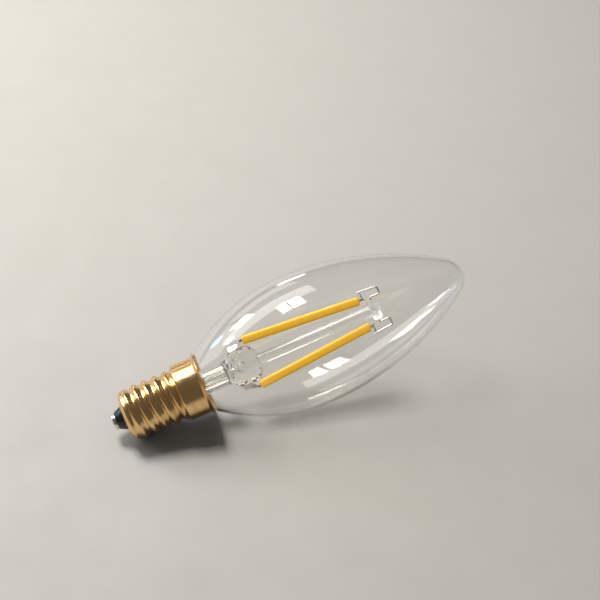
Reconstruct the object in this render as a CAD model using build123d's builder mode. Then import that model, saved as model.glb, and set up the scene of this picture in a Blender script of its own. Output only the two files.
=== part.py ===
from build123d import *
import os
from math import acos, atan2, ceil, cos, degrees, hypot, pi, sin, sqrt

os.makedirs("parts", exist_ok=True)

# Candle bulb with two LED filaments and a 14 mm Edison screw cap, lying on its side on a table.
# Heights are measured along the lamp's own axis from the rim of the cap: up towards the tip of
# the glass, and below zero towards the centre contact. All sizes are in millimetres.

# Glass envelope
bulb_radius = 17.5
bulb_length = 72.7
belly_height = 28.5
tip_radius = 5.7
neck_radius = 6.7
neck_blend = 2.0
mouth_flare = 1.0
glass_wall = 0.6

# Screw cap
thread_pitch = 2.822
thread_radius = 6.945
thread_depth = 0.8
thread_length = 15.2
thread_start_turn = 18.6
thread_stations = 6
shell_wall = 0.3
collar_length = 6.3
shoulder_height = 0.7
rim_height = 0.9
rim_clearance = 0.5
heel_inset = 0.95
heel_height = 1.6
end_bulge = 0.45
throat_radius = 3.2
cement_gap = 0.5
cement_recess = 1.0
fit_gap = 0.03

# Insulator and contact
insulator_depth = 3.2
nose_length = 2.0
nose_radius = 2.3
contact_radius = 2.1
contact_thickness = 1.0
eyelet_radius = 0.8
eyelet_bore = 0.4
eyelet_length = 3.0
solder_radius = 1.3
solder_height = 0.35

# Glass stem
mount_turn = 48.0
seal_lip = 0.6
neck_seat = 0.3
flare_height = 5.7
stem_radius = 3.1
stem_wall = 0.7
press_start = 6.5
press_rise = 3.2
press_body = 3.4
press_cap = 2.0
press_width = 9.6
press_thickness = 4.6
press_top_width = 6.0
press_top_thickness = 3.6
exhaust_radius = 1.5
exhaust_bore = 0.8
exhaust_tail = 3.4
exhaust_point = 1.2
exhaust_hole_radius = 1.15
exhaust_hole_rise = 4.1
rod_radius = 1.5
rod_length = 31.6
button_radius = 2.7
button_thickness = 2.2
button_bevel = 0.6

# Filaments, in a narrow V that is wider at the cap's end
foot_rise = 0.15
foot_clearance = 1.4
head_gap = 1.8
filament_head_out = 3.6
filament_width = 2.3
filament_thickness = 1.9
filament_round = 0.7
filament_end_bevel = 0.4
carrier_width = 1.1
carrier_thickness = 0.35
foot_stub = 0.7
head_stub = 1.2
tab_width = 1.7
tab_thickness = 0.25

# Wires
wire_radius = 0.25
lead_exit_rise = 2.5
weld_length = 1.7
hook_clearance = 0.7
hook_gap = 1.9
hook_rise = 2.7
hook_drop = 5.4
hook_splay = 0.5

# Driver in the cap
driver_turn = 11.5
sleeve_wall = 0.2
board_thickness = 0.8
board_gap = 0.1
tail_gap = 0.9
capacitor_radius = 2.0
capacitor_lift = 0.5
capacitor_bevel = 0.3
resistor_radius = 0.7
resistor_length = 3.6
resistor_margin = 1.2
part_gap = 0.5
rectifier_width = 3.8
rectifier_length = 2.6
rectifier_thickness = 1.5
rectifier_lift = 0.7
regulator_width = 2.9
regulator_length = 1.6
regulator_thickness = 1.1
chip_bevel = 0.2
shell_lead_inset = 1.2
shell_lead_rise = 1.2

# Cap sizes that follow from the ones above
mouth_radius = neck_radius + mouth_flare
collar_bore = neck_radius + cement_gap
collar_radius = collar_bore + shell_wall
rim_bore = mouth_radius + rim_clearance
rim_radius = rim_bore + shell_wall
thread_root = thread_radius - thread_depth
shell_bore = thread_root - shell_wall
heel_radius = thread_root - heel_inset
heel_slope = heel_height / (thread_depth + heel_inset)
shoulder_foot = -(collar_length + shoulder_height)
shell_end = shoulder_foot - thread_length
heel_edge = shell_end + end_bulge
heel_top = heel_edge + heel_height
contact_seat = shell_end - nose_length
contact_face = contact_seat - contact_thickness
insulator_top = shell_end + insulator_depth

# Stem and filament places
lip_end = -(collar_length - shell_wall - neck_seat)
neck_end = lip_end + seal_lip
neck_bore = neck_radius - glass_wall
flare_top = lip_end + flare_height
stem_bore = stem_radius - stem_wall
press_middle = press_start + press_rise
press_shoulder = press_middle + press_body
press_top = press_shoulder + press_cap
exhaust_end = lip_end - exhaust_tail
exhaust_hole_height = press_start + exhaust_hole_rise
button_height = press_top + rod_length
button_middle = button_height + button_thickness / 2
filament_foot_out = press_width / 2 + foot_clearance
filament_foot_height = press_shoulder + foot_rise
filament_head_height = button_height - head_gap
filament_rise = filament_head_height - filament_foot_height
filament_lean = atan2(filament_foot_out - filament_head_out, filament_rise)
filament_length = filament_rise / cos(filament_lean)
wire_hole = wire_radius + fit_gap

# Driver places
sleeve_radius = shell_bore - fit_gap
sleeve_bore = sleeve_radius - sleeve_wall
board_bottom = insulator_top + board_gap
board_top = exhaust_end - tail_gap
board_face = board_thickness / 2
board_half_width = sqrt(sleeve_bore**2 - board_face**2) - board_gap
resistor_height = board_top - resistor_margin - resistor_radius
capacitor_foot = board_bottom + capacitor_lift
capacitor_length = resistor_height - resistor_radius - part_gap - capacitor_foot
regulator_lift = rectifier_lift + rectifier_length + part_gap

# The flank rises from the mouth to the belly, and the long crown arc runs from the belly into the tip
belly_rise = bulb_radius - mouth_radius
flank_radius = (belly_height**2 + belly_rise**2) / (2 * belly_rise)
flank_centre = bulb_radius - flank_radius
tip_centre = bulb_length - tip_radius
crown_rise = tip_centre - belly_height
crown_radius = (crown_rise**2 + bulb_radius**2 - tip_radius**2) / (2 * (bulb_radius - tip_radius))
crown_centre = bulb_radius - crown_radius
crown_turn = degrees(atan2(crown_rise, -crown_centre))


def underside_radius(height):
    """Radius of the threaded shell along its underside, where the heel's taper cuts the last turn."""
    crest = shell_end + thread_pitch * (180 - thread_start_turn) / 360
    thread = thread_root + thread_depth / 2 * (1 + cos(2 * pi * (height - crest) / thread_pitch))
    return min(thread, thread_radius - (heel_top - height) / heel_slope)


def touching_tilt(height):
    """Tilt of the lamp at which its flank and this height of the shell's underside both meet the table."""
    run = belly_height - height
    rise = underside_radius(height) - flank_centre
    return atan2(run, rise) - acos(flank_radius / hypot(run, rise))


# The lamp leans on its belly and on the lowest turn of its thread, centred over the origin
tilt_steps = 200
tilt = min(touching_tilt(heel_edge + thread_pitch * step / tilt_steps) for step in range(tilt_steps))
reach_right = tip_centre * cos(tilt) + tip_radius
reach_left = contact_face * cos(tilt) - contact_radius * sin(tilt)
rim_x = -(reach_right + reach_left) / 2
rim_z = flank_radius - belly_height * sin(tilt) + flank_centre * cos(tilt)

# Planes: lamp lies across the axis at the rim and half_section along it. The mount planes are the same
# two, turned about the axis so that the filaments and the flat of the press lie in mount_section.
# The driver is turned so that its heavy side, and with it the lamp's, lies lowest.
lamp = Plane((rim_x, 0, rim_z), x_dir=(-sin(tilt), 0, cos(tilt)), z_dir=(cos(tilt), 0, sin(tilt)))
lamp_axis = Axis(lamp.origin, lamp.z_dir)
lamp_turn = Axis((0, 0, 0), lamp.z_dir)
half_section = Plane(lamp.origin, x_dir=lamp.x_dir, z_dir=(0, 1, 0))
mount_out = lamp.x_dir.rotate(lamp_turn, -mount_turn)
mount = Plane(lamp.origin, x_dir=mount_out, z_dir=lamp.z_dir)
mount_front = mount.y_dir
mount_section = Plane(lamp.origin, x_dir=mount_out, z_dir=-mount_front)
driver_front = (-lamp.x_dir).rotate(lamp_turn, driver_turn)
driver = Plane(lamp.origin, x_dir=driver_front.cross(lamp.z_dir), z_dir=lamp.z_dir)


def place(plane, out, front, height):
    """Point by its distances along the plane's two directions and along the lamp's axis."""
    return plane.from_local_coords(Vector(out, front, height))


def keep(piece, name):
    """Label a finished piece and write it to its own file."""
    piece.label = name
    export_step(piece, f"parts/{name}.step")


def envelope_half(inset):
    """Half section of the envelope, inset from its outer skin: neck, flank, crown and tip."""
    straight = neck_radius - inset
    flank = flank_radius - inset
    corner = belly_height - sqrt(flank**2 - (straight - flank_centre) ** 2)
    flank_turn = degrees(atan2(belly_height - corner, straight - flank_centre))
    with BuildSketch(half_section) as half:
        with BuildLine():
            Polyline((0, bulb_length - inset), (0, neck_end), (straight, neck_end), (straight, corner))
            CenterArc((flank_centre, belly_height), flank, -flank_turn, flank_turn)
            CenterArc((crown_centre, belly_height), crown_radius - inset, 0, crown_turn)
            CenterArc((0, tip_centre), tip_radius - inset, crown_turn, 90 - crown_turn)
        make_face()
        neck_corner = half.vertices().sort_by_distance((straight, corner))[0]
        fillet(neck_corner, neck_blend + inset)
    return half.sketch


# Glass envelope: blown as one piece, open at the end of its neck
with BuildPart() as glass_envelope:
    revolve(envelope_half(0), lamp_axis)
    revolve(envelope_half(glass_wall), lamp_axis, mode=Mode.SUBTRACT)
keep(glass_envelope.part, "glass_envelope")


def wire_along(points, radius):
    """Round wire, bent sharply at the points that it runs through."""
    with BuildPart() as wire:
        with BuildLine() as route:
            Polyline(*points)
        with BuildSketch(Plane(route.line @ 0, z_dir=route.line % 0)):
            Circle(radius)
        sweep(path=route.line, transition=Transition.RIGHT)
    return wire.part


# Lead wires: from the driver up the stem, out through the edges of the press and along it to a weld
lead_out = (exhaust_radius + stem_bore) / 2
weld_out = press_width / 2 + wire_radius
weld_height = press_start + lead_exit_rise
lead_routes = {}
for number, side in enumerate((1, -1), start=1):
    lead_routes[side] = [
        place(driver, -side * lead_out, 0, board_top + fit_gap),
        place(mount, side * lead_out, 0, press_start),
        place(mount, side * weld_out, 0, weld_height),
        place(mount, side * weld_out, 0, weld_height + weld_length),
    ]
    keep(wire_along(lead_routes[side], wire_radius), f"lead_wire_{number}")

# Bridge wire: through the button, and hooked over on both sides to reach the filaments' heads
hook_inner = button_radius + hook_clearance
hook_outer = hook_inner + hook_gap
hook_top = button_middle + hook_rise
hook_half = [
    (hook_inner, button_middle),
    (hook_inner, hook_top),
    (hook_outer, hook_top),
    (hook_outer + hook_splay, hook_top - hook_drop),
]
hook_line = [(-out, height) for out, height in reversed(hook_half)] + hook_half
bridge_route = [place(mount, out, 0, height) for out, height in hook_line]
keep(wire_along(bridge_route, wire_radius), "bridge_wire")

# Stem: a lip sealed to the neck, the flare, the tube, and its upper end pressed flat round the lead wires
with BuildPart() as stem_flare:
    with BuildSketch(half_section):
        Polygon(
            (stem_bore, press_start),
            (stem_radius, press_start),
            (stem_radius, flare_top),
            (neck_bore, neck_end),
            (neck_radius, neck_end),
            (neck_radius, lip_end),
            (neck_bore - stem_wall, lip_end),
            (stem_bore, flare_top),
            align=None,
        )
    revolve(axis=lamp_axis)
    with BuildSketch(mount.offset(press_start)):
        Circle(stem_radius)
    with BuildSketch(mount.offset(press_middle)):
        Ellipse(press_width / 2, press_thickness / 2)
    with BuildSketch(mount.offset(press_shoulder)):
        Ellipse(press_width / 2, press_thickness / 2)
    with BuildSketch(mount.offset(press_top)):
        Ellipse(press_top_width / 2, press_top_thickness / 2)
    loft(ruled=True)
    with BuildSketch(mount.offset(press_start)):
        Circle(exhaust_bore)
    extrude(amount=exhaust_hole_rise, mode=Mode.SUBTRACT)
    with BuildSketch(Plane(place(mount, 0, 0, exhaust_hole_height), z_dir=mount_front)):
        Circle(exhaust_hole_radius)
    extrude(amount=press_thickness, mode=Mode.SUBTRACT)
    for side in (1, -1):
        add(wire_along(lead_routes[side], wire_hole), mode=Mode.SUBTRACT)
keep(stem_flare.part, "stem_flare")

# Exhaust tube: open into the press, drawn to a closed point inside the cap
with BuildPart() as exhaust_tube:
    with BuildSketch(half_section):
        Polygon(
            (exhaust_bore, press_start),
            (exhaust_radius, press_start),
            (exhaust_radius, exhaust_end + exhaust_point),
            (0, exhaust_end),
            (0, exhaust_end + exhaust_point),
            (exhaust_bore, exhaust_end + 2 * exhaust_point),
            align=None,
        )
    revolve(axis=lamp_axis)
keep(exhaust_tube.part, "exhaust_tube")

# Support rod: drawn glass with a flattened button at its top, which holds the bridge wire
with BuildPart() as support_rod:
    with BuildSketch(mount.offset(press_top)):
        Circle(rod_radius)
    extrude(amount=rod_length)
    with BuildSketch(mount.offset(button_height)):
        Circle(button_radius)
    button = extrude(amount=button_thickness)
    chamfer(button.edges().filter_by(GeomType.CIRCLE), button_bevel)
    add(wire_along(bridge_route, wire_hole), mode=Mode.SUBTRACT)
keep(support_rod.part, "support_rod")


def tab_along(points, side):
    """Strip of thin sheet, mitred at its bends, whose inner face runs through points of the mount section."""
    inner = [Vector(side * out, height) for out, height in points]
    normals = [(end - start).normalized().rotate(Axis.Z, -90 * side) for start, end in zip(inner, inner[1:])]
    bends = zip(normals[:1] + normals, normals + normals[-1:])
    mitres = [(before + after) / (1 + before.dot(after)) for before, after in bends]
    outer = [point + mitre * tab_thickness for point, mitre in zip(inner, mitres)]
    with BuildPart() as tab:
        with BuildSketch(mount_section):
            with BuildLine():
                Polyline(*inner, *reversed(outer), close=True)
            make_face()
        extrude(amount=tab_width / 2, both=True)
    return tab.part


# Tabs: welded to the carrier's bare ends, bent in to the lead wires and out to the bridge wire
carrier_skin = carrier_thickness / 2 / cos(filament_lean)
lean_rate = (filament_foot_out - filament_head_out) / filament_rise
foot_bend = foot_stub + fit_gap
head_bend = head_stub - tab_thickness
arm_height = filament_head_height + head_bend
hook_at_arm = hook_outer + hook_splay * (hook_top - arm_height) / hook_drop
lower_tab_line = [
    (weld_out + wire_radius, weld_height),
    (weld_out + wire_radius, weld_height + weld_length),
    (filament_foot_out + carrier_skin + lean_rate * foot_bend, filament_foot_height - foot_bend),
    (filament_foot_out + carrier_skin + lean_rate * fit_gap, filament_foot_height - fit_gap),
]
upper_tab_line = [
    (filament_head_out + carrier_skin - lean_rate * fit_gap, filament_head_height + fit_gap),
    (filament_head_out + carrier_skin - lean_rate * head_bend, arm_height),
    (hook_at_arm - wire_hole, arm_height),
]

# Filaments: a ceramic carrier, coated with phosphor between its bare ends
for number, side in enumerate((1, -1), start=1):
    foot = place(mount, side * filament_foot_out, 0, filament_foot_height)
    head = place(mount, side * filament_head_out, 0, filament_head_height)
    across = Plane((foot + head) / 2, x_dir=mount_out * side, z_dir=head - foot)
    with BuildPart() as carrier:
        with BuildSketch(across.offset(-filament_length / 2 - foot_stub)):
            Rectangle(carrier_thickness, carrier_width)
        extrude(amount=foot_stub + filament_length + head_stub)
    with BuildPart() as coat:
        with BuildSketch(across):
            RectangleRounded(filament_width, filament_thickness, filament_round)
        extrude(amount=filament_length / 2, both=True)
        ends = coat.faces().sort_by(Axis(across.origin, across.z_dir))
        chamfer(ends[0].edges() + ends[-1].edges(), filament_end_bevel)
        add(carrier.part, mode=Mode.SUBTRACT)
    keep(carrier.part, f"filament_{number}_carrier")
    keep(coat.part, f"filament_{number}")
    keep(tab_along(lower_tab_line, side), f"filament_{number}_lower_tab")
    keep(tab_along(upper_tab_line, side), f"filament_{number}_upper_tab")

# Screw shell: drawn brass sheet. Off-centre circles that turn as they climb leave the rolled round thread.
# The heel's taper cuts the thread off, and the smooth collar ends in a flared rim.
station_rise = thread_pitch / thread_stations
station_count = ceil((thread_length + shoulder_height) / station_rise)
with BuildPart() as screw_shell:
    for station in range(station_count + 1):
        turned = thread_start_turn + 360 * station / thread_stations
        off_centre = lamp.x_dir.rotate(lamp_turn, turned) * (thread_depth / 2)
        level = lamp.offset(shell_end + station * station_rise).origin
        with BuildSketch(Plane(level + off_centre, x_dir=lamp.x_dir, z_dir=lamp.z_dir)):
            Circle(thread_root + thread_depth / 2)
    loft(ruled=True)
    with BuildSketch(half_section):
        Polygon(
            (0, -collar_length),
            (0, shell_end),
            (throat_radius, shell_end),
            (heel_radius, heel_edge),
            (thread_radius + shell_wall, heel_top + shell_wall * heel_slope),
            (thread_radius + shell_wall, -collar_length),
            align=None,
        )
    revolve(axis=lamp_axis, mode=Mode.INTERSECT)
    with BuildSketch(half_section):
        Polygon(
            (0, 0),
            (0, shoulder_foot),
            (thread_root, shoulder_foot),
            (collar_radius, -collar_length),
            (collar_radius, -rim_height),
            (rim_radius, 0),
            align=None,
        )
    revolve(axis=lamp_axis)
    with BuildSketch(half_section):
        Polygon(
            (0, 0),
            (0, shell_end),
            (throat_radius, shell_end),
            (throat_radius, shell_end + shell_wall),
            (heel_radius - shell_wall, heel_edge + shell_wall),
            (shell_bore, heel_edge + shell_wall + heel_inset * heel_slope),
            (shell_bore, shoulder_foot + shell_wall),
            (collar_bore, shell_wall - collar_length),
            (collar_bore, -rim_height),
            (rim_bore, 0),
            align=None,
        )
    revolve(axis=lamp_axis, mode=Mode.SUBTRACT)
keep(screw_shell.part, "screw_shell")

# Insulator: black glass cast into the end of the shell, with a conical nose round the contact
with BuildPart() as insulator:
    with BuildSketch(half_section):
        Polygon(
            (eyelet_radius + fit_gap, insulator_top),
            (eyelet_radius + fit_gap, contact_seat),
            (nose_radius, contact_seat),
            (throat_radius - fit_gap, shell_end),
            (throat_radius - fit_gap, shell_end + shell_wall + fit_gap),
            (heel_radius - shell_wall - fit_gap, heel_edge + shell_wall + fit_gap),
            (shell_bore - fit_gap, heel_edge + shell_wall + fit_gap + heel_inset * heel_slope),
            (shell_bore - fit_gap, insulator_top),
            align=None,
        )
    revolve(axis=lamp_axis)
keep(insulator.part, "insulator")

# Centre contact: a flanged eyelet through the insulator, closed by a drop of solder
with BuildPart() as centre_contact:
    with BuildSketch(half_section):
        Polygon(
            (eyelet_bore, contact_seat + eyelet_length),
            (eyelet_bore, contact_face),
            (contact_radius, contact_face),
            (contact_radius, contact_seat),
            (eyelet_radius, contact_seat),
            (eyelet_radius, contact_seat + eyelet_length),
            align=None,
        )
    revolve(axis=lamp_axis)
keep(centre_contact.part, "centre_contact")
with BuildPart() as contact_solder:
    drop_radius = (solder_radius**2 + solder_height**2) / (2 * solder_height)
    with BuildSketch(half_section):
        with BuildLine():
            RadiusArc((solder_radius, contact_face), (0, contact_face - solder_height), drop_radius)
            Polyline((0, contact_face - solder_height), (0, contact_face), (solder_radius, contact_face))
        make_face()
    revolve(axis=lamp_axis)
keep(contact_solder.part, "contact_solder")

# Cement ring between the glass neck and the collar
with BuildPart() as basing_cement:
    with BuildSketch(lamp.offset(neck_end)):
        Circle(collar_bore - fit_gap)
        Circle(neck_radius + fit_gap, mode=Mode.SUBTRACT)
    extrude(amount=-rim_height - cement_recess - neck_end)
keep(basing_cement.part, "basing_cement")

# Film sleeve that keeps the driver off the shell, standing on the insulator
with BuildPart() as insulating_sleeve:
    with BuildSketch(lamp.offset(insulator_top)):
        Circle(sleeve_radius)
        Circle(sleeve_bore, mode=Mode.SUBTRACT)
    extrude(amount=board_top - insulator_top)
keep(insulating_sleeve.part, "insulating_sleeve")

# Driver board, edge to edge in the sleeve
with BuildPart() as driver_board:
    with BuildSketch(driver.offset(board_bottom)):
        Rectangle(2 * board_half_width, board_thickness)
    extrude(amount=board_top - board_bottom)
keep(driver_board.part, "driver_board")


def chip(width, length, thickness, lift):
    """Moulded chip on the back of the board, with bevelled upper edges."""
    middle = place(driver, 0, -board_face, board_bottom + lift + length / 2)
    seat = Plane(middle, x_dir=driver.x_dir, z_dir=-driver_front)
    with BuildPart() as body:
        with BuildSketch(seat):
            Rectangle(width, length)
        extrude(amount=thickness)
        chamfer(body.faces().sort_by(Axis(seat.origin, seat.z_dir))[-1].edges(), chip_bevel)
    return body.part


# Rectifier and regulator on the back of the board, smoothing capacitor and fuse resistor on its front
keep(chip(rectifier_width, rectifier_length, rectifier_thickness, rectifier_lift), "rectifier")
keep(chip(regulator_width, regulator_length, regulator_thickness, regulator_lift), "regulator")
capacitor_seat = place(driver, 0, board_face + capacitor_radius, capacitor_foot)
resistor_seat = place(driver, 0, board_face + resistor_radius, resistor_height)
with BuildPart() as capacitor:
    with BuildSketch(Plane(capacitor_seat, z_dir=lamp.z_dir)):
        Circle(capacitor_radius)
    extrude(amount=capacitor_length)
    chamfer(capacitor.edges().filter_by(GeomType.CIRCLE), capacitor_bevel)
keep(capacitor.part, "capacitor")
with BuildPart() as fuse_resistor:
    with BuildSketch(Plane(resistor_seat, z_dir=driver.x_dir)):
        Circle(resistor_radius)
    extrude(amount=resistor_length / 2, both=True)
keep(fuse_resistor.part, "fuse_resistor")

# Leads of the driver: down the eyelet to the contact, and over the sleeve to the shell
with BuildPart() as contact_lead:
    with BuildSketch(lamp.offset(contact_face)):
        Circle(wire_radius)
    extrude(amount=board_bottom - contact_face)
keep(contact_lead.part, "contact_lead")
shell_lead_out = board_half_width - shell_lead_inset
shell_lead_route = [
    place(driver, shell_lead_out, 0, board_top),
    place(driver, shell_lead_out, 0, board_top + shell_lead_rise),
    place(driver, shell_bore - fit_gap, 0, board_top + shell_lead_rise),
]
keep(wire_along(shell_lead_route, wire_radius), "shell_lead")
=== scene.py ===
from math import atan2, copysign, cos, pi, radians, sin, sqrt, tan, tau

import bmesh
import bpy
from mathutils import Matrix, Vector, noise


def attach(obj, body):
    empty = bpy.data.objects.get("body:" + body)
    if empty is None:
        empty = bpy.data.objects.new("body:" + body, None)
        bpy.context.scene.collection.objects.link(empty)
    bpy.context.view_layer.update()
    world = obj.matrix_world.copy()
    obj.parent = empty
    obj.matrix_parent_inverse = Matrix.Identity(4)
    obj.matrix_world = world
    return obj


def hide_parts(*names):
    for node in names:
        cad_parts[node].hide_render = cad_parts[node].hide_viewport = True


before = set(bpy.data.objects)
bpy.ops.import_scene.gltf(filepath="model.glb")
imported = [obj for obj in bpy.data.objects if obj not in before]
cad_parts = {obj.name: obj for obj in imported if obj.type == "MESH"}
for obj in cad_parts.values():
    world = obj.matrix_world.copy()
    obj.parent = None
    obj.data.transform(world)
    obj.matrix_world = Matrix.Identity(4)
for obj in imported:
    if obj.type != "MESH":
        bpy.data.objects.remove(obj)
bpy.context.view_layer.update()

# Stem: drawn glass tube, flared at its foot and sealed to the neck. Its top was softened and pinched flat
# round the two lead wires, and a puff of air through the exhaust tube blew the hole in its front.
# All pieces of the lamp are drawn in millimetres from the rim of the cap, with height along its axis.
millimetre = 0.001
lamp_tilt = radians(14.0732)
rim_centre = Vector((-0.0228674, 0.0, 0.0114355))
lean = Matrix(((-sin(lamp_tilt), 0, cos(lamp_tilt)), (0, -1, 0), (cos(lamp_tilt), 0, sin(lamp_tilt))))
lamp_frame = Matrix.Translation(rim_centre) @ lean.to_4x4() @ Matrix.Scale(millimetre, 4)
mount_turn = radians(-48)
mount_frame = lamp_frame @ Matrix.Rotation(mount_turn, 4, "Z")
neck_radius, neck_bore, neck_end = 6.7, 6.1, -5.1
lip_end, lip_edge, lip_thickness = -5.7, 0.2, 0.5
stem_radius, stem_bore, stem_turns = 3.1, 2.4, 96
flare_top, flare_bend = 0.0, 2.5
press_start, press_top, bore_edge, overlap = 6.5, 15.1, 0.6, 1.0
# Sections of the press: height, half breadth and half thickness
press_shape = (
    (6.0, 2.9, 2.9), (7.0, 3.35, 2.95), (8.2, 4.2, 2.6), (9.2, 4.7, 2.35), (10.4, 4.8, 2.3),
    (12.2, 4.8, 2.3), (13.4, 4.7, 2.3), (14.3, 4.1, 2.15), (14.9, 3.2, 1.9), (press_top, 2.6, 1.75),
)
exhaust_radius, exhaust_bore, air_way_turns = 1.5, 0.8, 40
hole_radius, hole_height = 1.15, 10.6
# Sections of the blown hole: how far in front of the axis, half breadth and half height
hole_shape = ((-0.1, 0.7, 0.6), (0.8, 1.2, 0.9), (1.7, 1.45, 1.05), (2.1, 1.6, hole_radius), (3.2, 1.9, 1.45))
hole_lip_radius, hole_lip_round, hole_lip_front = 1.55, 0.45, 2.25
hole_lip_stretch, hole_lip_facets, hole_lip_turns = (1.2, 0.95, 1, 1), 16, 48
melt_voxel, melt_share, melt_rounds = 0.12, 0.5, 5
# Lumps of the press: their spacing and height, and the length of stem over which they fade out
press_lumps, lump_fade = ((1.7, 0.34), (0.75, 0.09)), 1.2
crease_angle = radians(40)
frost_roughness = 0.7


def spin(outline, turns):
    """Skin turned about the lamp's axis from points of radius and height, closed on itself or on the axis."""
    skin_mesh = bmesh.new()
    rows = []
    for radius, height in outline:
        count = turns if radius > 0 else 1
        angles = [tau * k / count for k in range(count)]
        rows.append([skin_mesh.verts.new((radius * cos(a), radius * sin(a), height)) for a in angles])
    for low, high in zip(rows, rows[1:] + rows[:1]):
        for k in range(turns):
            low_edge = low[k % len(low)], low[(k + 1) % len(low)]
            high_edge = high[(k + 1) % len(high)], high[k % len(high)]
            corners = list(dict.fromkeys(low_edge + high_edge))
            if len(corners) > 2:
                skin_mesh.faces.new(corners)
    bmesh.ops.recalc_face_normals(skin_mesh, faces=skin_mesh.faces)
    return skin_mesh


def rounded(corners, steps=6):
    """Closed outline through corners of radius, height and rounding: a rounded corner becomes an arc."""
    outline = []
    for k, (radius, height, blend) in enumerate(corners):
        corner = Vector((radius, height))
        if not blend:
            outline.append(corner)
            continue
        back = (Vector(corners[k - 1][:2]) - corner).normalized()
        on = (Vector(corners[(k + 1) % len(corners)][:2]) - corner).normalized()
        half = back.angle(on) / 2
        centre = corner + (back + on).normalized() * blend / sin(half)
        first = corner + back * blend / tan(half) - centre
        last = corner + on * blend / tan(half) - centre
        outline += [centre + first.slerp(last, step / steps) * blend for step in range(steps + 1)]
    return outline


def wrap(rings):
    """Closed skin over a row of rings with as many points each."""
    skin_mesh = bmesh.new()
    rows = [[skin_mesh.verts.new(point) for point in ring] for ring in rings]
    count = len(rows[0])
    for low, high in zip(rows, rows[1:]):
        for k in range(count):
            skin_mesh.faces.new((low[k], low[(k + 1) % count], high[(k + 1) % count], high[k]))
    skin_mesh.faces.new(rows[0])
    skin_mesh.faces.new(rows[-1])
    bmesh.ops.recalc_face_normals(skin_mesh, faces=skin_mesh.faces)
    return skin_mesh


def oval(out, front, height, fullness=2.3, count=56):
    """Ring across the axis, from a plain oval towards a box as its fullness grows."""
    ring = []
    for k in range(count):
        c, s = cos(tau * k / count), sin(tau * k / count)
        x = copysign(abs(c) ** (2 / fullness), c)
        y = copysign(abs(s) ** (2 / fullness), s)
        ring.append((out * x, front * y, height))
    return ring


def blank_from(name, skin_mesh):
    """Loose object for the modifiers to work on."""
    mesh = bpy.data.meshes.new(name)
    skin_mesh.to_mesh(mesh)
    skin_mesh.free()
    blank = bpy.data.objects.new(name, mesh)
    bpy.context.collection.objects.link(blank)
    return blank


def worked(blank, *tools):
    """Mesh of a blank with its modifiers applied. The blank and its tools are cleared away."""
    seen = blank.evaluated_get(bpy.context.evaluated_depsgraph_get())
    mesh = bpy.data.meshes.new_from_object(seen)
    for used in (blank, *tools):
        bpy.data.objects.remove(used)
    return mesh


def fit(name, mesh, place, material, slot, *nodes):
    """Put a finished mesh in its place on the lamp, where it stands for its solids."""
    mesh.transform(place)
    mesh.materials.clear()
    mesh.materials.append(material)
    mesh.shade_smooth()
    mesh.set_sharp_from_angle(angle=crease_angle)
    mesh.name = name
    piece = bpy.data.objects.new(name, mesh)
    bpy.context.collection.objects.link(piece)
    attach(piece, "root")
    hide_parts(*nodes)


def new_group(name, inputs, outputs):
    """Empty shader group with named sockets."""
    group = bpy.data.node_groups.new(name, "ShaderNodeTree")
    for socket, kind, value in inputs:
        made = group.interface.new_socket(socket, in_out="INPUT", socket_type=kind)
        made.default_value = value
    for socket, kind in outputs:
        group.interface.new_socket(socket, in_out="OUTPUT", socket_type=kind)
    return group, group.nodes.new("NodeGroupInput"), group.nodes.new("NodeGroupOutput")


# Flow of molten glass: long soft waves and a few finer ripples, left as the glass set
glass_flow, flow_in, flow_out = new_group(
    "glass_flow",
    (
        ("Scale", "NodeSocketFloat", 300.0), ("Ripple", "NodeSocketFloat", 0.3),
        ("Smear", "NodeSocketFloat", 0.04),
    ),
    (("Height", "NodeSocketFloat"), ("Roughness", "NodeSocketFloat")),
)
flow_place = glass_flow.nodes.new("ShaderNodeTexCoord")
flow_long = glass_flow.nodes.new("ShaderNodeTexNoise")
flow_long.inputs["Detail"].default_value = 1.0
flow_scale = glass_flow.nodes.new("ShaderNodeMath")
flow_scale.operation = "MULTIPLY"
flow_scale.inputs[1].default_value = 4.0
flow_fine = glass_flow.nodes.new("ShaderNodeTexNoise")
flow_fine.inputs["Detail"].default_value = 2.0
flow_sum = glass_flow.nodes.new("ShaderNodeMath")
flow_sum.operation = "MULTIPLY_ADD"
flow_smear = glass_flow.nodes.new("ShaderNodeMapRange")
flow_smear.inputs["From Min"].default_value = 0.52
flow_smear.inputs["From Max"].default_value = 0.8
for link in (
    (flow_place.outputs["Object"], flow_long.inputs["Vector"]),
    (flow_place.outputs["Object"], flow_fine.inputs["Vector"]),
    (flow_in.outputs["Scale"], flow_long.inputs["Scale"]),
    (flow_in.outputs["Scale"], flow_scale.inputs[0]),
    (flow_scale.outputs[0], flow_fine.inputs["Scale"]),
    (flow_fine.outputs["Fac"], flow_sum.inputs[0]),
    (flow_in.outputs["Ripple"], flow_sum.inputs[1]),
    (flow_long.outputs["Fac"], flow_sum.inputs[2]),
    (flow_sum.outputs[0], flow_out.inputs["Height"]),
    (flow_fine.outputs["Fac"], flow_smear.inputs["Value"]),
    (flow_in.outputs["Smear"], flow_smear.inputs["To Max"]),
    (flow_smear.outputs["Result"], flow_out.inputs["Roughness"]),
):
    glass_flow.links.new(*link)


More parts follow.
